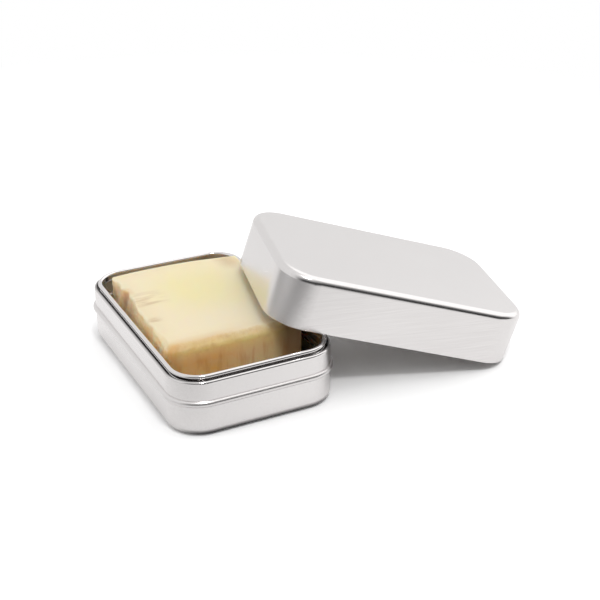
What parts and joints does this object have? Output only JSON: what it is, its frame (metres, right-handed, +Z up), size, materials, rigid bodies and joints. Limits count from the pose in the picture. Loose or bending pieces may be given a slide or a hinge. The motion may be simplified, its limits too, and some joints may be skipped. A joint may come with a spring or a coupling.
{
  "type": "soap tin",
  "caption": "Rectangular slip-lid metal soap tin: round-cornered tray with stop bead and curled rim, lid taken off and leaning on the rim, bar of soap lying in the tray.",
  "frame": {"origin": "centre of the tray's underside, on the surface that the tin stands on", "axes": "+Z up; X along the tray's length; the lid lies toward +Y, its low end on the ground"},
  "size_m": [0.0996, 0.1434, 0.0464],
  "materials": {
    "tray_sheet": "satin",
    "lid_sheet": "satin",
    "soap": "waxy"
  },
  "bodies": {
    "tray": {"base_tray": "tray_sheet"},
    "lid": {"lid": "lid_sheet"},
    "soap": {"soap_bar": "soap"}
  },
  "joints": [
    {"name": "lid_lift", "type": "slide", "parent": "tray", "child": "lid", "axis": [0, 0, 1], "range_m": [0, 0.06]},
    {"name": "soap_slide", "type": "slide", "parent": "tray", "child": "soap", "axis": [1, 0, 0], "range_m": [-0.006, 0.006]}
  ]
}
